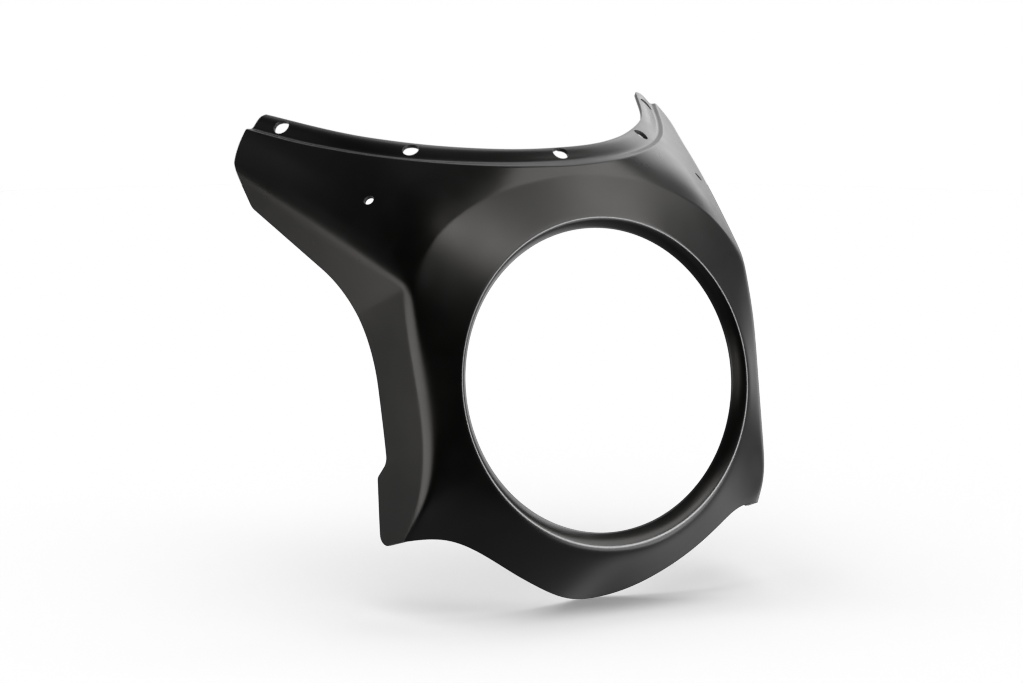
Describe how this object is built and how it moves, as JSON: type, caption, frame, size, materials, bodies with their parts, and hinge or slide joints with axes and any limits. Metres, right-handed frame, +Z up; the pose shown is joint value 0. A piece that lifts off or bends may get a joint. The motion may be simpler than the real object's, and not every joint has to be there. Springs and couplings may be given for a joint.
{
  "type": "half fairing",
  "caption": "Satin black moulded half fairing for a naked motorbike: round headlight opening with a raised rim, swept wings, lower tabs and a recessed, drilled flange for a screen.",
  "frame": {"origin": "centre of the round headlight opening, in the plane of the lip's trimmed edge", "axes": "+Z up on the bike, -Y the way the bike faces, +Y back towards the rider, +X the rider's left"},
  "size_m": [0.3478, 0.182, 0.3433],
  "materials": {
    "satin_black_abs": "satin moulded black, fine grain"
  },
  "bodies": {
    "root": {"fairing_shell": "satin_black_abs"}
  },
  "joints": []
}
